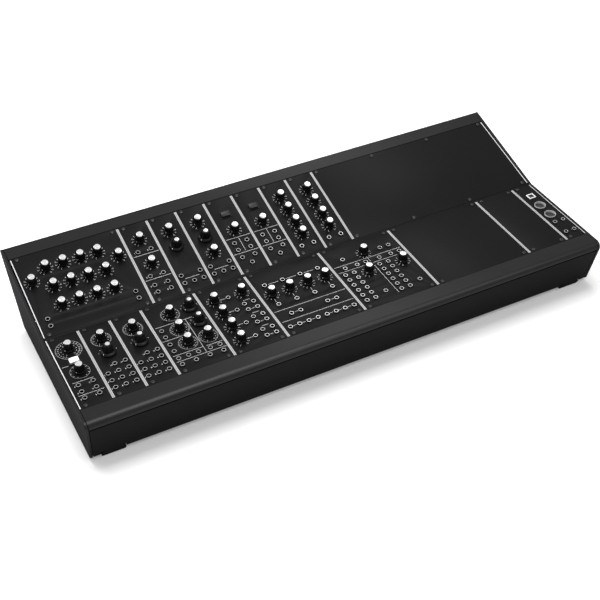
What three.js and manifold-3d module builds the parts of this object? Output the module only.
// A two-row modular synthesizer in a low desktop case.
// Millimetres. X runs along the rows, Y to the rear, +Z up.
// The origin is on the table, under the middle of the case.
import * as THREE from "three";
import { mergeVertices } from "three/addons/utils/BufferGeometryUtils.js";
import Module from "manifold-3d";

const wasm = await Module();
wasm.setup();

// Module format: every panel is a whole number of pitches wide.
const pitch = 5.08;
const panelHeight = 128.5;
const panelThickness = 2;
const panelSeam = 0.3;
const rowGap = 2.6;
const rowTiltDegrees = 14.9;

// Case section, measured from the lower row's front edge and top face.
const lipDepth = 26.5;
const lipDrop = 9;
const lipWall = 3;
const noseRadius = 8;
const apronRecess = 0.6;
const caseDrop = 65;
const frontSetback = 10.8;
const rearSetback = 36.2;
const rearStripDepth = 20.9;
const rearStripReturn = 10;
const rearRadius = 1;
const sheetThickness = 2;
const sheetRadius = 1;
const edgeSeam = 0.4;
const seatGap = 0.3;
const lipShadowGap = 1.6;

// Rails that the panels are screwed to.
const railReach = 8;
const railHeel = 6;
const railDepth = 11;
const crownSink = 0.2;

// End cheeks, leaning outwards as they rise.
const cheekThickness = 4;
const cheekGap = 0.8;
const cheekSeam = 0.7;
const cheekStand = 0.3;
const cheekBevel = 1.2;
const cheekLeanDegrees = 2.3;

// Rubber feet, let into the case's lower front and rear edges.
const footWidth = 31;
const footTopWidth = 24;
const footDepth = 24;
const footDrop = 6;
const footTongueRise = 4;
const footTongueDepth = 5;
const footProud = 0.8;
const footFaceSlope = 2.8;
const footTaper = 1;
const footInset = 12;
const footGap = 0.3;

// Jack sockets: the nut that shows and the hole for the plug.
const nutRadius = 3.1;
const nutHeight = 1.6;
const plugHoleRadius = 1.9;
const nutSides = 6;

// Rotary controls: fluted knob with a metal cap on a round shaft.
const knobBaseRadius = 6.1;
const knobTopRadius = 5.5;
const knobHeight = 13.1;
const knobLift = 1.2;
const knobCapRadius = 4.4;
const knobCapHeight = 0.8;
const capRoot = 0.7;
const fluteCount = 6;
const fluteDepthShare = 0.07;
const shaftRadius = 3;
const shaftSides = 6;
const shaftEndGap = 0.5;
const runningClearance = 0.35;
const capSides = 8;

// Selectors: a round skirt, a tapered grip and a small cap.
const skirtRadius = 9.3;
const skirtHeight = 3;
const gripBaseRadius = 7.4;
const gripTopRadius = 4.6;
const selectorHeight = 14.8;
const selectorCapRadius = 2.9;
const skirtSides = 16;

// Behind each panel: potentiometer bodies that carry the circuit board.
const potSide = 9.5;
const shaftReach = 6;
const boardDepth = 12;
const boardThickness = 1.6;
const boardSideMargin = 3;
const boardEndMargin = 12;

// Rocker switches.
const rockerLength = 12.2;
const rockerWidth = 7.4;
const rockerRise = 3.8;
const rockerDip = 2.6;
const rockerRoot = 3;
const rockerTiltDegrees = 7;
const rockerClearance = 0.4;
const bezelWall = 1.6;
const bezelHeight = 0.8;
const switchBodyDepth = 8;
const switchFloor = 1.5;
const pivotDepth = 1;
const pivotRadius = 0.8;
const pivotReach = 0.9;
const pivotSides = 8;

// Computer and five-pin sockets of the interface module.
const usbWidth = 12;
const usbHeight = 10.8;
const usbHoleWidth = 8.4;
const usbHoleHeight = 7.8;
const dinRadius = 7.8;
const dinHoleRadius = 6.7;
const socketStand = 1.2;
const socketHoleDepth = 8;
const dinSides = 16;

// Power board on the case floor, with its inlet through the rear wall.
const busEndMargin = 45.6;
const busWidth = 46;
const busThickness = 1.6;
const busStandoff = 6;
const busRearMargin = 22;
const standoffSide = 7;
const standoffColumns = 5;
const headerLength = 17;
const headerWidth = 9;
const headerHeight = 9;
const headerCount = 12;
const supplyLength = 60;
const supplyWidth = 34;
const supplyHeight = 18;
const inletWidth = 10;
const inletHeight = 11;
const inletReach = 14;
const inletProud = 1;
const inletHoleRadius = 3.3;
const inletHoleDepth = 9;
const inletSides = 8;

// How finely round corners are cut, and how far a cut runs past what it cuts.
const noseSteps = 5;
const roundSteps = 3;
const cutOverrun = 5;

// Outlines in the case's section plane: [y, z] points, counter-clockwise.
const radians = THREE.MathUtils.degToRad;
const rowTilt = radians(rowTiltDegrees);
const cheekLean = radians(cheekLeanDegrees);
const upperLength = rowGap + panelHeight;

function upperPlace(along, above) {
  const y = panelHeight + along * Math.cos(rowTilt) - above * Math.sin(rowTilt);
  const z = along * Math.sin(rowTilt) + above * Math.cos(rowTilt);
  return [y, z];
}

function unit(from, to) {
  const length = Math.hypot(to[0] - from[0], to[1] - from[1]);
  return [(to[0] - from[0]) / length, (to[1] - from[1]) / length];
}

function stepped(point, direction, distance) {
  return [point[0] + direction[0] * distance, point[1] + direction[1] * distance];
}

// The sum of the outward normals either side of a corner, scaled so that a corner moved by it
// keeps both its edges parallel.
function mitre(before, corner, after) {
  const edgeIn = unit(before, corner);
  const edgeOut = unit(corner, after);
  const normalIn = [edgeIn[1], -edgeIn[0]];
  const normalOut = [edgeOut[1], -edgeOut[0]];
  const turn = 1 + normalIn[0] * normalOut[0] + normalIn[1] * normalOut[1];
  const shift = [(normalIn[0] + normalOut[0]) / turn, (normalIn[1] + normalOut[1]) / turn];
  const convex = edgeIn[0] * edgeOut[1] - edgeIn[1] * edgeOut[0] > 0;
  return { normalIn, normalOut, shift, convex };
}

// Corners are { at: [y, z], round, steps }; growing moves every edge outwards.
function outlineOf(corners, grow = 0) {
  const points = [];
  corners.forEach((turn, index) => {
    const before = corners[(index + corners.length - 1) % corners.length].at;
    const after = corners[(index + 1) % corners.length].at;
    const { normalIn, normalOut, shift, convex } = mitre(before, turn.at, after);
    const moved = stepped(turn.at, shift, grow);
    if (!turn.round) {
      points.push(moved);
      return;
    }
    const radius = convex ? turn.round + grow : grow - turn.round;
    const centre = stepped(moved, shift, -radius);
    const start = Math.atan2(normalIn[1], normalIn[0]);
    let sweep = Math.atan2(normalOut[1], normalOut[0]) - start;
    sweep = Math.atan2(Math.sin(sweep), Math.cos(sweep));
    for (let step = 0; step <= turn.steps; step += 1) {
      const angle = start + (sweep * step) / turn.steps;
      points.push(stepped(centre, [Math.cos(angle), Math.sin(angle)], radius));
    }
  });
  return points;
}

function corner(at, round = 0, steps = roundSteps) {
  return { at, round, steps };
}

// The far side of an open path after every edge moves inwards by the sheet's thickness.
function innerPath(path, thickness) {
  return path.map((point, index) => {
    if (index === 0 || index === path.length - 1) {
      const [from, to] = index === 0 ? [path[0], path[1]] : [path[index - 1], point];
      const direction = unit(from, to);
      return stepped(point, [-direction[1], direction[0]], thickness);
    }
    return stepped(point, mitre(path[index - 1], point, path[index + 1]).shift, -thickness);
  });
}

// Solids: closed geometry in, a manifold solid out.
function solidOf(geometry) {
  const bare = geometry.clone();
  bare.deleteAttribute("normal");
  bare.deleteAttribute("uv");
  const merged = mergeVertices(bare);
  const vertProperties = Float32Array.from(merged.attributes.position.array);
  const triVerts = Uint32Array.from(merged.index.array);
  return new wasm.Manifold(new wasm.Mesh({ numProp: 3, vertProperties, triVerts }));
}

function joined(solids) {
  return solids.reduce((whole, solid) => whole.add(solid));
}

function box(width, depth, height, x, y, z) {
  return solidOf(new THREE.BoxGeometry(width, depth, height).translate(x, y, z));
}

// An upright prism with flat sides, from one height to another.
function post(radius, sides, low, high, x, y) {
  const geometry = new THREE.CylinderGeometry(radius, radius, high - low, sides);
  geometry.rotateX(Math.PI / 2);
  return solidOf(geometry.translate(x, y, (low + high) / 2));
}

// A closed body through a stack of outlines with the same number of points, each at its level.
function loft(layers) {
  const count = layers[0].outline.length;
  const positions = layers.flatMap(({ outline, level }) => outline.flatMap(([a, b]) => [a, b, level]));
  const indices = [];
  for (let layer = 0; layer + 1 < layers.length; layer += 1) {
    for (let point = 0; point < count; point += 1) {
      const next = (point + 1) % count;
      const low = layer * count;
      const high = low + count;
      indices.push(low + point, low + next, high + next);
      indices.push(low + point, high + next, high + point);
    }
  }
  const lastStart = (layers.length - 1) * count;
  for (const [start, outline, facesDown] of [
    [0, layers[0].outline, true],
    [lastStart, layers.at(-1).outline, false],
  ]) {
    const flat = outline.map(([a, b]) => new THREE.Vector2(a, b));
    for (const [i, j, k] of THREE.ShapeUtils.triangulateShape(flat, [])) {
      indices.push(start + i, start + (facesDown ? k : j), start + (facesDown ? j : k));
    }
  }
  const geometry = new THREE.BufferGeometry();
  geometry.setAttribute("position", new THREE.Float32BufferAttribute(positions, 3));
  geometry.setIndex(indices);
  return geometry;
}

// Turns a loft's outline plane into the case's section plane, with the loft running along X.
const sectionBasis = new THREE.Matrix4().makeBasis(
  new THREE.Vector3(0, 1, 0),
  new THREE.Vector3(0, 0, 1),
  new THREE.Vector3(1, 0, 0),
);

function alongX(layers) {
  return loft(layers).applyMatrix4(sectionBasis);
}

function prismAlongX(outline, from, to) {
  return solidOf(alongX([{ outline, level: from }, { outline, level: to }]));
}

function ring(radius, sides, startAngle = 0) {
  const points = [];
  for (let side = 0; side < sides; side += 1) {
    const angle = startAngle + (2 * Math.PI * side) / sides;
    points.push([radius * Math.cos(angle), radius * Math.sin(angle)]);
  }
  return points;
}

// A round outline whose every other point is drawn in, as on a fluted grip.
function flutedRing(radius, flutes) {
  return ring(radius, 2 * flutes).map(([a, b], index) => {
    const drawn = index % 2 ? 1 - fluteDepthShare : 1;
    return [a * drawn, b * drawn];
  });
}

// Finishes.
const finishes = {
  panel: { color: 0x1f1f20, roughness: 0.55, metalness: 0.4 },
  case: { color: 0x2c2c2d, roughness: 0.45, metalness: 0.5 },
  pan: { color: 0x1b1b1c, roughness: 0.6, metalness: 0.3 },
  rubber: { color: 0x0c0c0c, roughness: 0.9, metalness: 0 },
  knob: { color: 0x0d0d0e, roughness: 0.5, metalness: 0 },
  rail: { color: 0x8c8f93, roughness: 0.4, metalness: 0.9 },
  board: { color: 0x123b26, roughness: 0.6, metalness: 0 },
  whiteRocker: { color: 0xf2f2f0, roughness: 0.4, metalness: 0 },
  blackRocker: { color: 0x161617, roughness: 0.4, metalness: 0 },
};

function piece(name, solid, finish) {
  const { vertProperties, triVerts } = solid.getMesh();
  const geometry = new THREE.BufferGeometry();
  geometry.setAttribute("position", new THREE.BufferAttribute(vertProperties, 3));
  geometry.setIndex(new THREE.BufferAttribute(triVerts, 1));
  const mesh = new THREE.Mesh(geometry, new THREE.MeshStandardMaterial(finishes[finish]));
  mesh.name = name;
  return mesh;
}

// Layout of the modules. Places are [column, row] shares of the panel's width and height,
// counted from its lower left corner.
const centreShare = 0.49;
const knobCentreShare = 0.5;
const pairColumnShares = [0.268, 0.708];
const tripleColumnShares = [0.165, centreShare, 0.81];

function gridShares(columnShares, rowShares) {
  return rowShares.flatMap((row) => columnShares.map((column) => [column, row]));
}

function columnOf(columnShare, rowShares) {
  return gridShares([columnShare], rowShares);
}

const bankKnobColumnShares = [0.258, 0.419, 0.579, 0.74];
const bankSocketColumnShares = [0.096, 0.898];
const filterSocketShares = [
  ...gridShares([tripleColumnShares.at(0), tripleColumnShares.at(-1)], [0.208]),
  ...gridShares(tripleColumnShares, [0.112]),
];
const amplifierSocketShares = [...gridShares(pairColumnShares, [0.391, 0.298, 0.198]), [centreShare, 0.112]];
const oscillatorColumnShares = [0.18, 0.495, 0.815];
const oscillatorSocketShares = [
  ...gridShares(oscillatorColumnShares, [0.305, 0.208, 0.112]),
  ...gridShares(oscillatorColumnShares.slice(1), [0.404]),
];
const mixerKnobRowShares = [0.78, 0.573, 0.369, 0.164];
const mixerInputRowShares = [0.77, 0.563, 0.359, 0.154];
const mixerSocketRowShares = [0.611, 0.521, 0.405, 0.319, 0.202, 0.111];
const attenuatorKnobColumnShares = [0.147, 0.385, 0.623, 0.86];
const attenuatorSocketColumnShares = [0.14, 0.378, 0.616, 0.853];
const multipleColumnShares = [0.083, 0.202, 0.321, 0.439, 0.558, 0.677, 0.796, 0.915];
const multipleUpperShares = [0.202, 0.321, 0.677, 0.796];
const consoleHalfShare = 0.474;
const consoleRowShares = [0.541, 0.456, 0.37, 0.284, 0.199, 0.114];
const consoleHalfSocketShares = [
  [0.149, 0.637],
  [0.314, 0.637],
  [0.434, 0.637],
  ...gridShares([0.09, 0.209], consoleRowShares),
  [0.376, 0.156],
];
const consoleSocketShares = [
  [0.202, 0.772],
  [0.729, 0.772],
  [0.848, 0.772],
  ...consoleHalfSocketShares,
  ...consoleHalfSocketShares.map(([column, row]) => [column + consoleHalfShare, row]),
];

const upperModules = [
  {
    name: "filter_bank",
    pitches: 28,
    knobShares: [
      ...gridShares(bankKnobColumnShares, [0.78, 0.544, 0.308]),
      ...gridShares([0.098, 0.9], [0.661]),
    ],
    socketShares: gridShares(bankSocketColumnShares, [0.198, 0.112]),
  },
  {
    name: "noise_filter",
    pitches: 8,
    turning: true,
    knobShares: columnOf(knobCentreShare, [0.78, 0.46]),
    socketShares: gridShares(pairColumnShares, [0.635, 0.314, 0.198, 0.112]),
  },
  {
    name: "high_pass",
    pitches: 8,
    turning: true,
    knobShares: [[knobCentreShare, 0.78]],
    selectorShares: [[knobCentreShare, 0.577]],
    socketShares: filterSocketShares,
  },
  {
    name: "low_pass",
    pitches: 8,
    turning: true,
    knobShares: columnOf(knobCentreShare, [0.78, 0.365]),
    selectorShares: [[knobCentreShare, 0.578]],
    socketShares: filterSocketShares,
  },
  {
    name: "amplifier_1",
    pitches: 8,
    turning: true,
    knobShares: [[knobCentreShare, 0.557]],
    rockerShares: [[centreShare, 0.777]],
    socketShares: amplifierSocketShares,
  },
  {
    name: "amplifier_2",
    pitches: 8,
    knobShares: [[knobCentreShare, 0.557]],
    rockerShares: [[centreShare, 0.777]],
    socketShares: amplifierSocketShares,
  },
  ...["envelope_1", "envelope_2"].map((name) => ({
    name,
    pitches: 8,
    knobShares: columnOf(knobCentreShare, [0.782, 0.601, 0.42, 0.257]),
    socketShares: gridShares(pairColumnShares, [0.113]),
  })),
  { name: "wide_blank", pitches: 56 },
];

const lowerModules = [
  {
    name: "oscillator_driver",
    pitches: 8,
    turning: true,
    knobShares: columnOf(knobCentreShare, [0.779, 0.462]),
    rockerShares: [[centreShare, 0.613]],
    whiteRocker: true,
    socketShares: gridShares(pairColumnShares, [0.288, 0.198, 0.114]),
  },
  ...["oscillator_1", "oscillator_2"].map((name) => ({
    name,
    pitches: 8,
    turning: true,
    knobShares: [[knobCentreShare, 0.78]],
    selectorShares: [[knobCentreShare, 0.577]],
    socketShares: oscillatorSocketShares,
  })),
  {
    name: "tone_generator",
    pitches: 14,
    turning: true,
    knobShares: [...columnOf(0.42, [0.806, 0.571, 0.366]), [0.791, 0.367]],
    selectorShares: columnOf(0.793, [0.813, 0.581]),
    socketShares: [
      ...columnOf(0.122, [0.611, 0.514, 0.404, 0.304, 0.197, 0.11]),
      [0.301, 0.198],
      [0.479, 0.199],
      [0.374, 0.11],
      [0.695, 0.197],
      [0.872, 0.198],
      [0.623, 0.112],
      [0.871, 0.111],
    ],
  },
  {
    name: "mixer",
    pitches: 14,
    turning: true,
    knobShares: [...columnOf(0.238, mixerKnobRowShares), [0.769, mixerKnobRowShares[0]]],
    socketShares: [...columnOf(0.497, mixerInputRowShares), ...gridShares([0.676, 0.856], mixerSocketRowShares)],
  },
  {
    name: "attenuator",
    pitches: 21,
    knobShares: gridShares(attenuatorKnobColumnShares, [0.621]),
    socketShares: [
      ...gridShares(attenuatorSocketColumnShares, [0.772, 0.455]),
      ...gridShares(multipleUpperShares, [0.283]),
      ...gridShares(multipleColumnShares, [0.113]),
    ],
  },
  {
    name: "console",
    pitches: 21,
    turning: true,
    knobShares: [
      [0.501, 0.779],
      [0.379, 0.49],
      [0.379 + consoleHalfShare, 0.49],
    ],
    socketShares: consoleSocketShares,
  },
  { name: "long_blank", pitches: 28 },
  { name: "short_blank", pitches: 12 },
  {
    name: "interface",
    pitches: 6,
    usbShares: [[0.51, 0.804]],
    dinShares: columnOf(0.46, [0.626, 0.447]),
    socketShares: gridShares([0.276, 0.714], [0.305, 0.116]),
  },
];

// A knob stands on the panel's top face at z = 0, with its shaft reaching down into the potentiometer.
function knobSolid(withShaft) {
  const shoulder = knobHeight - knobCapHeight;
  const low = withShaft ? knobLift : -panelThickness / 2;
  const body = loft([
    { outline: flutedRing(knobBaseRadius, fluteCount), level: low },
    { outline: flutedRing(knobTopRadius, fluteCount), level: shoulder },
  ]);
  const cap = post(knobCapRadius, capSides, shoulder - capRoot, knobHeight, 0, 0);
  const parts = [solidOf(body), cap];
  if (withShaft) {
    parts.push(post(shaftRadius, shaftSides, -panelThickness - shaftReach, low + capRoot, 0, 0));
  }
  return joined(parts);
}

function selectorSolid() {
  const gripFoot = knobLift + skirtHeight;
  const skirt = post(skirtRadius, skirtSides, knobLift, gripFoot, 0, 0);
  const shoulder = selectorHeight - knobCapHeight;
  const grip = loft([
    { outline: flutedRing(gripBaseRadius, fluteCount), level: gripFoot - capRoot },
    { outline: flutedRing(gripTopRadius, fluteCount), level: shoulder },
  ]);
  const cap = post(selectorCapRadius, capSides, shoulder - capRoot, selectorHeight, 0, 0);
  const shaft = post(shaftRadius, shaftSides, -panelThickness - shaftReach, gripFoot, 0, 0);
  return joined([skirt, solidOf(grip), cap, shaft]);
}

// The rocker turns about X through its pivot pins, below the panel's top face.
function rockerSolid(withPivot) {
  const half = rockerWidth / 2;
  const outline = [
    [-half, rockerRise],
    [-half, -rockerRoot],
    [half, -rockerRoot],
    [half, rockerRise],
    [0, rockerDip],
  ];
  const body = prismAlongX(outline, -rockerLength / 2, rockerLength / 2);
  if (!withPivot) {
    return body;
  }
  const pinHalf = rockerLength / 2 + rockerClearance + pivotReach;
  const pinOutline = movedOutline(ring(pivotRadius, pivotSides), 0, -pivotDepth);
  return body.add(prismAlongX(pinOutline, -pinHalf, pinHalf));
}

function movedOutline(outline, alongFirst, alongSecond) {
  return outline.map(([a, b]) => [a + alongFirst, b + alongSecond]);
}

// A place on a panel, in the panel's own millimetres.
function placeOn(module, [column, row]) {
  return [column * module.pitches * pitch, row * panelHeight];
}

function moduleSolid(module) {
  const width = module.pitches * pitch;
  const added = [];
  const cuts = [];
  const boardTop = -boardDepth;
  let hasBoard = false;
  added.push(
    box(width - panelSeam, panelHeight, panelThickness, width / 2, panelHeight / 2, -panelThickness / 2),
  );
  for (const share of module.socketShares ?? []) {
    const [x, y] = placeOn(module, share);
    added.push(post(nutRadius, nutSides, -panelThickness / 2, nutHeight, x, y));
    cuts.push(post(plugHoleRadius, nutSides, -panelThickness - cutOverrun, nutHeight + cutOverrun, x, y));
  }
  for (const share of [...(module.knobShares ?? []), ...(module.selectorShares ?? [])]) {
    const [x, y] = placeOn(module, share);
    hasBoard = true;
    const potHeight = boardDepth - panelThickness / 2;
    added.push(box(potSide, potSide, potHeight, x, y, boardTop + potHeight / 2));
    if (module.turning) {
      const boreRadius = (shaftRadius + runningClearance) / Math.cos(Math.PI / shaftSides);
      const boreFloor = -panelThickness - shaftReach - shaftEndGap;
      cuts.push(post(boreRadius, shaftSides, boreFloor, cutOverrun, x, y));
    }
  }
  if (!module.turning) {
    for (const share of module.knobShares ?? []) {
      const [x, y] = placeOn(module, share);
      added.push(knobSolid(false).translate([x, y, 0]));
    }
  }
  for (const share of module.rockerShares ?? []) {
    const [x, y] = placeOn(module, share);
    hasBoard = true;
    const holeLength = rockerLength + 2 * rockerClearance;
    const holeWidth = rockerWidth + 2 * rockerClearance;
    const bezelLength = holeLength + 2 * bezelWall;
    const bezelWidth = holeWidth + 2 * bezelWall;
    const bodyHeight = boardDepth + bezelHeight;
    added.push(box(bezelLength, bezelWidth, bodyHeight, x, y, boardTop + bodyHeight / 2));
    const cavityFloor = module.turning ? -switchBodyDepth + switchFloor : -panelThickness;
    const cavityHeight = bezelHeight + cutOverrun - cavityFloor;
    const cavity = box(holeLength, holeWidth, cavityHeight, x, y, cavityFloor + cavityHeight / 2);
    if (module.turning) {
      const pinHalf = holeLength / 2 + pivotReach + rockerClearance;
      const pinHole = ring(pivotRadius + rockerClearance, pivotSides);
      const bore = prismAlongX(movedOutline(pinHole, y, -pivotDepth), x - pinHalf, x + pinHalf);
      cuts.push(cavity.add(bore));
    } else {
      cuts.push(cavity);
    }
  }
  for (const share of module.usbShares ?? []) {
    const [x, y] = placeOn(module, share);
    hasBoard = true;
    const bodyHeight = boardDepth + socketStand;
    added.push(box(usbWidth, usbHeight, bodyHeight, x, y, boardTop + bodyHeight / 2));
    const cutHeight = socketHoleDepth + cutOverrun;
    const cutMiddle = socketStand - socketHoleDepth + cutHeight / 2;
    cuts.push(box(usbHoleWidth, usbHoleHeight, cutHeight, x, y, cutMiddle));
  }
  for (const share of module.dinShares ?? []) {
    const [x, y] = placeOn(module, share);
    hasBoard = true;
    added.push(post(dinRadius, dinSides, boardTop, socketStand, x, y));
    cuts.push(post(dinHoleRadius, dinSides, socketStand - socketHoleDepth, socketStand + cutOverrun, x, y));
  }
  if (hasBoard) {
    const boardWidth = width - 2 * boardSideMargin;
    const boardLength = panelHeight - 2 * boardEndMargin;
    const boardMiddle = boardTop - boardThickness / 2;
    added.push(box(boardWidth, boardLength, boardThickness, width / 2, panelHeight / 2, boardMiddle));
  }
  let solid = joined(added);
  if (cuts.length > 0) {
    solid = solid.subtract(joined(cuts));
  }
  if (!module.turning) {
    for (const share of module.rockerShares ?? []) {
      const [x, y] = placeOn(module, share);
      solid = solid.add(rockerSolid(false).translate([x, y, 0]));
    }
  }
  return solid;
}

const rowWidth = lowerModules.reduce((total, module) => total + module.pitches * pitch, 0);

// One row of modules: each panel with its fixed parts, then the controls that turn on it.
function buildRow(modules, row) {
  let left = -rowWidth / 2;
  for (const module of modules) {
    const place = new THREE.Group();
    place.position.set(left, 0, 0);
    const kind = module.knobShares || module.dinShares ? "module" : "panel";
    place.add(piece(`${module.name}_${kind}`, moduleSolid(module), "panel"));
    if (module.turning) {
      addControls(place, module, module.knobShares, "knob", () => knobSolid(true), "knob");
      addControls(place, module, module.selectorShares, "selector", selectorSolid, "knob");
      addRockers(place, module);
    }
    row.add(place);
    left += module.pitches * pitch;
  }
}

function addControls(place, module, shares, kind, makeSolid, finish) {
  (shares ?? []).forEach((share, index) => {
    const suffix = shares.length > 1 ? `_${index + 1}` : "";
    const control = piece(`${module.name}_${kind}${suffix}`, makeSolid(), finish);
    control.position.set(...placeOn(module, share), 0);
    place.add(control);
  });
}

// A rocker rests with its front edge pressed, turned about its pivot.
function addRockers(place, module) {
  for (const share of module.rockerShares ?? []) {
    const finish = module.whiteRocker ? "whiteRocker" : "blackRocker";
    const rocker = piece(`${module.name}_rocker`, rockerSolid(true), finish);
    rocker.position.set(0, 0, pivotDepth);
    const pivot = new THREE.Group();
    pivot.position.set(...placeOn(module, share), -pivotDepth);
    pivot.rotation.x = radians(rockerTiltDegrees);
    pivot.add(rocker);
    place.add(pivot);
  }
}

// The case's section.
const rearTop = upperPlace(upperLength + rearStripDepth, 0);
const lipFoot = [-lipDepth, -lipDrop];
const frontFoot = [-lipDepth + frontSetback, -caseDrop];
const rearFoot = [rearTop[0] - rearSetback, -caseDrop];
const rearWallDown = unit(rearTop, rearFoot);
const apronDown = unit(lipFoot, frontFoot);
const rearReturn = stepped(rearTop, rearWallDown, rearStripReturn);
const noseRound = Math.min(noseRadius, lipDrop - apronRecess);
const panelSeat = -panelThickness;
const upperSeat = -panelThickness - seatGap;

const silhouette = [
  corner([-lipDepth, 0], noseRound, noseSteps),
  corner(lipFoot),
  corner(frontFoot, sheetRadius),
  corner(rearFoot, sheetRadius),
  corner(rearTop, rearRadius),
  corner([panelHeight, 0]),
];

function frontLipOutline() {
  return outlineOf([
    corner([-edgeSeam, 0]),
    corner([-lipDepth, 0], noseRound, noseSteps),
    corner(lipFoot),
    corner([-lipDepth + lipWall, -lipDrop]),
    corner([-lipDepth + lipWall, -lipWall], noseRound - lipWall),
    corner([-railHeel, -lipWall]),
    corner([-railHeel, -railDepth]),
    corner([railReach, -railDepth]),
    corner([railReach, panelSeat]),
    corner([-edgeSeam, panelSeat]),
  ]);
}

function rearStripOutline() {
  const start = upperPlace(upperLength + edgeSeam, 0);
  const [, innerCorner, innerFoot] = innerPath([rearReturn, rearTop, start], lipWall).reverse();
  return outlineOf([
    corner(start),
    corner(upperPlace(upperLength + edgeSeam, upperSeat)),
    corner(upperPlace(upperLength - railReach, upperSeat)),
    corner(upperPlace(upperLength - railReach, -railDepth)),
    corner(upperPlace(upperLength + railHeel, -railDepth)),
    corner(upperPlace(upperLength + railHeel, -lipWall)),
    corner(innerCorner),
    corner(innerFoot),
    corner(rearReturn),
    corner(rearTop, rearRadius),
  ]);
}

function centreRailOutline() {
  return outlineOf([
    corner([panelHeight - railReach, panelSeat]),
    corner([panelHeight - railReach, -railDepth]),
    corner(upperPlace(rowGap + railReach, -railDepth)),
    corner(upperPlace(rowGap + railReach, upperSeat)),
    corner(upperPlace(rowGap - edgeSeam, upperSeat)),
    corner(upperPlace(rowGap - edgeSeam, -crownSink)),
    corner([panelHeight + edgeSeam, -crownSink]),
    corner([panelHeight + edgeSeam, panelSeat]),
  ]);
}

function panOutline() {
  const apronTop = stepped(stepped(lipFoot, apronDown, lipShadowGap), [1, 0], apronRecess);
  const wallTop = stepped(rearReturn, rearWallDown, seatGap);
  const outer = [apronTop, frontFoot, rearFoot, wallTop];
  const inner = innerPath(outer, sheetThickness);
  return outlineOf([
    corner(outer[0]),
    corner(outer[1], sheetRadius),
    corner(outer[2], sheetRadius),
    corner(outer[3]),
    corner(inner[3]),
    corner(inner[2]),
    corner(inner[1]),
    corner(inner[0]),
  ]);
}

// A foot's block lies under the floor, narrower at its sole, and its tongue fills a notch in
// the wall's lower edge. Outwards is -1 at the front wall and 1 at the rear one.
function footSolid(x, edgeY, outwards) {
  const faceY = edgeY + outwards * footProud;
  const floorZ = -caseDrop;
  const rimOutline = footOutline(x, faceY, outwards, 0, 0);
  const soleOutline = footOutline(x, faceY, outwards, footFaceSlope, footTaper);
  const block = solidOf(loft([
    { outline: soleOutline, level: floorZ - footDrop },
    { outline: rimOutline, level: floorZ },
  ]));
  const tongueTop = floorZ + footTongueRise;
  const wide = footWidth / 2;
  const narrow = footTopWidth / 2;
  const tongueOutline = [
    [-wide, floorZ],
    [wide, floorZ],
    [narrow, tongueTop],
    [-narrow, tongueTop],
  ];
  const tongue = loft([
    { outline: tongueOutline, level: 0 },
    { outline: tongueOutline, level: footTongueDepth },
  ]);
  tongue.rotateX(Math.PI / 2);
  const tongueStart = outwards < 0 ? faceY + footTongueDepth : faceY;
  return block.add(solidOf(tongue.translate(x, tongueStart, 0)));
}

function footOutline(x, faceY, outwards, slope, taper) {
  const face = faceY - outwards * slope;
  const back = faceY - outwards * (footDepth - taper);
  const [near, far] = outwards < 0 ? [face, back] : [back, face];
  const half = footWidth / 2 - taper;
  return [[x - half, near], [x + half, near], [x + half, far], [x - half, far]];
}

function cheekSolid(side, innerX) {
  const layers = [
    { outline: outlineOf(silhouette, cheekStand), level: 0 },
    { outline: outlineOf(silhouette, cheekStand), level: cheekThickness - cheekBevel },
    { outline: outlineOf(silhouette, cheekStand - cheekBevel), level: cheekThickness },
  ];
  if (side < 0) {
    layers.forEach((layer) => {
      layer.level = -layer.level;
    });
    layers.reverse();
  }
  const lean = new THREE.Matrix4().makeShear(0, 0, 0, 0, side * Math.tan(cheekLean), 0);
  return solidOf(alongX(layers).translate(innerX, 0, 0).applyMatrix4(lean));
}

// A section drawn out from cheek to cheek, its ends parallel to them.
function betweenCheeks(outline) {
  const reach = innerHalf + cheekThickness;
  const endAt = (cheekSeam - innerHalf) * Math.cos(cheekLean);
  const whole = prismAlongX(outline, -reach, reach);
  const rightEnd = [-Math.cos(cheekLean), 0, Math.sin(cheekLean)];
  const leftEnd = [Math.cos(cheekLean), 0, Math.sin(cheekLean)];
  return whole.trimByPlane(rightEnd, endAt).trimByPlane(leftEnd, endAt);
}

// The power board stands on posts on the floor, and its inlet passes through the rear wall.
const floorTop = -caseDrop + sheetThickness;
const busTop = floorTop + busStandoff + busThickness;
const inletZ = busTop + (inletHeight - busThickness) / 2;
const rearWallLean = (rearTop[0] - rearFoot[0]) / (rearTop[1] - rearFoot[1]);
const inletWallY = rearFoot[0] + (inletZ + caseDrop) * rearWallLean;
const busY = rearFoot[0] - busRearMargin - busWidth / 2;
const busLength = rowWidth - 2 * busEndMargin;
const inletX = busLength / 2 - inletWidth;

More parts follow.
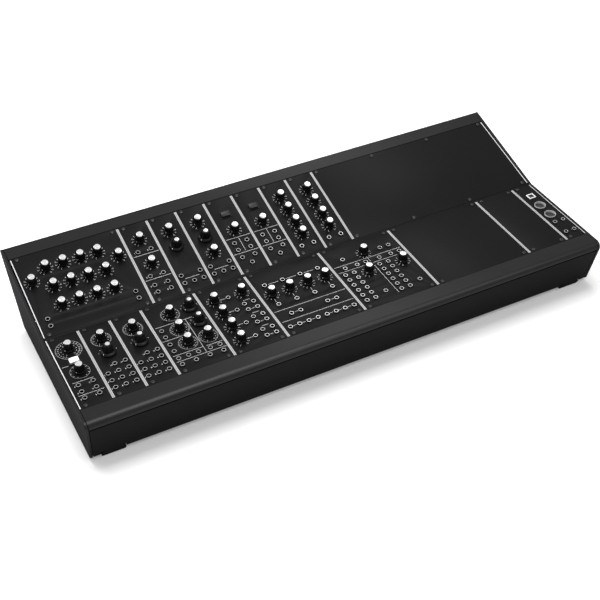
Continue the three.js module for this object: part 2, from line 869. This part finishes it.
function powerBoardSolid() {
  const parts = [box(busLength, busWidth, busThickness, 0, busY, busTop - busThickness / 2)];
  const postSpan = busLength - 2 * standoffSide;
  for (let column = 0; column < standoffColumns; column += 1) {
    const x = -postSpan / 2 + (postSpan * column) / (standoffColumns - 1);
    const standHeight = busStandoff + busThickness / 2;
    parts.push(box(standoffSide, standoffSide, standHeight, x, busY, floorTop + standHeight / 2));
  }
  const headerSpan = busLength - supplyLength - inletWidth * 3 - headerLength;
  for (let header = 0; header < headerCount; header += 1) {
    const x = -busLength / 2 + headerLength + (headerSpan * header) / headerCount;
    const height = headerHeight + busThickness / 2;
    parts.push(box(headerLength, headerWidth, height, x, busY, busTop + headerHeight - height / 2));
  }
  const supplyX = inletX - inletWidth - supplyLength / 2;
  const supplyFull = supplyHeight + busThickness / 2;
  const supplyMiddle = busTop + supplyHeight - supplyFull / 2;
  parts.push(box(supplyLength, supplyWidth, supplyFull, supplyX, busY, supplyMiddle));
  const inletTip = inletWallY + inletProud;
  const inletRear = busY + busWidth / 2 - inletReach;
  const inletLength = inletTip - inletRear;
  const inletMiddle = (inletTip + inletRear) / 2;
  parts.push(box(inletWidth, inletLength, inletHeight, inletX, inletMiddle, inletZ));
  const holeLength = inletHoleDepth + cutOverrun;
  const hole = new THREE.CylinderGeometry(inletHoleRadius, inletHoleRadius, holeLength, inletSides);
  hole.translate(inletX, inletTip + cutOverrun - holeLength / 2, inletZ);
  return joined(parts).subtract(solidOf(hole));
}

// Assembly.
const synthesizer = new THREE.Group();
const caseGroup = new THREE.Group();
const lowerRow = new THREE.Group();
const upperRow = new THREE.Group();
upperRow.rotation.x = rowTilt;
upperRow.position.set(0, ...upperPlace(rowGap, 0));
buildRow(lowerModules, lowerRow);
buildRow(upperModules, upperRow);

const innerHalf = rowWidth / 2 + cheekGap;
const footX = rowWidth / 2 - footInset - footWidth / 2;
const footSpots = [
  { name: "front_left_foot", x: -footX, edgeY: frontFoot[0], outwards: -1 },
  { name: "front_right_foot", x: footX, edgeY: frontFoot[0], outwards: -1 },
  { name: "rear_left_foot", x: -footX, edgeY: rearFoot[0], outwards: 1 },
  { name: "rear_right_foot", x: footX, edgeY: rearFoot[0], outwards: 1 },
];

let pan = betweenCheeks(panOutline());
for (const { x, edgeY, outwards } of footSpots) {
  pan = pan.subtract(notchSolid(x, edgeY, outwards));
}
const inletOpening = inletWidth + 2 * footGap;
pan = pan.subtract(
  box(inletOpening, inletReach, inletHeight + 2 * footGap, inletX, inletWallY, inletZ),
);

// The notch that a foot's tongue fills leaves the floor behind it whole.
function notchSolid(x, edgeY, outwards) {
  const reach = footTongueDepth - footProud + footGap;
  const height = footTongueRise + footGap + cutOverrun;
  const depth = reach + cutOverrun;
  const y = edgeY - outwards * (reach - depth / 2);
  return box(footWidth + 2 * footGap, depth, height, x, y, -caseDrop + footTongueRise + footGap - height / 2);
}

caseGroup.add(piece("bottom_pan", pan, "pan"));
caseGroup.add(piece("front_lip", betweenCheeks(frontLipOutline()), "case"));
caseGroup.add(piece("rear_strip", betweenCheeks(rearStripOutline()), "case"));
caseGroup.add(piece("centre_rail", betweenCheeks(centreRailOutline()), "rail"));
caseGroup.add(piece("left_cheek", cheekSolid(-1, -innerHalf), "case"));
caseGroup.add(piece("right_cheek", cheekSolid(1, innerHalf), "case"));
caseGroup.add(piece("power_board", powerBoardSolid(), "board"));
for (const { name, x, edgeY, outwards } of footSpots) {
  caseGroup.add(piece(name, footSolid(x, edgeY, outwards), "rubber"));
}

const cheekYs = outlineOf(silhouette, cheekStand).map(([y]) => y);
const middleY = (Math.min(...cheekYs) + Math.max(...cheekYs)) / 2;
const assembly = new THREE.Group();
assembly.position.set(0, -middleY, caseDrop + footDrop);
assembly.add(caseGroup, lowerRow, upperRow);
synthesizer.add(assembly);

export default synthesizer;
